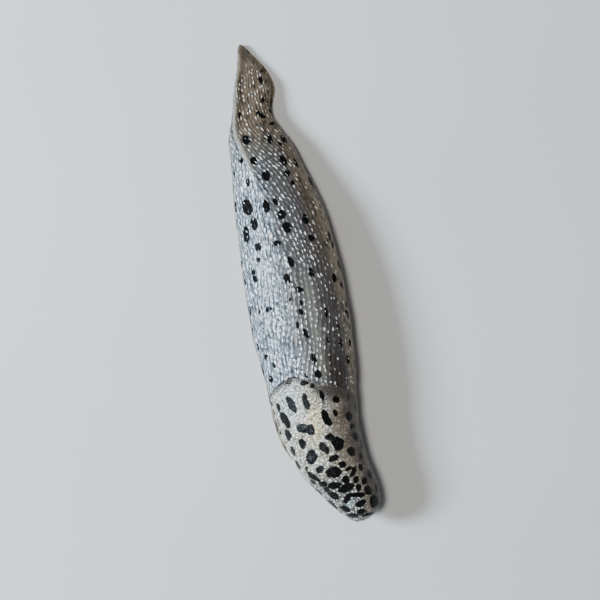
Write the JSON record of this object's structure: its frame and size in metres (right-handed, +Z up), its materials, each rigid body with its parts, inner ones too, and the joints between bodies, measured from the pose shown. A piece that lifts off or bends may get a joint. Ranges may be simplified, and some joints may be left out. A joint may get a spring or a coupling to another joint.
{
  "type": "leopard slug",
  "caption": "Still leopard slug at rest with its head drawn in: long keeled body on a flat sole, ringed mantle over the front third, short feelers and a breathing pore.",
  "frame": {"origin": "middle of the bounding box on the floor, at the level of the sole", "axes": "+Y runs from the head to the tail tip, +Z is up, and +X is towards the animal's own left side"},
  "size_m": [0.0231, 0.1099, 0.0148],
  "materials": {
    "back_skin": "wet slug skin, grey-brown with black spots and rows of long tubercles",
    "mantle_skin": "wet slug skin, cream with black blotches and fine ringed ridges",
    "foot_skin": "wet pale fringe and cream sole",
    "head_skin": "wet slug skin, plain pale brown",
    "feeler_skin": "wet brown feeler skin",
    "eye_black": "small glossy black eye spot"
  },
  "bodies": {
    "root": {"tail": "back_skin", "back_rear": "back_skin", "back_middle": "back_skin", "back_front": "back_skin", "foot": "foot_skin", "mantle": "mantle_skin", "head": "head_skin", "feeler_upper_left": "feeler_skin", "feeler_upper_right": "feeler_skin", "feeler_lower_left": "feeler_skin", "feeler_lower_right": "feeler_skin", "eye_left": "eye_black", "eye_right": "eye_black"}
  },
  "joints": []
}
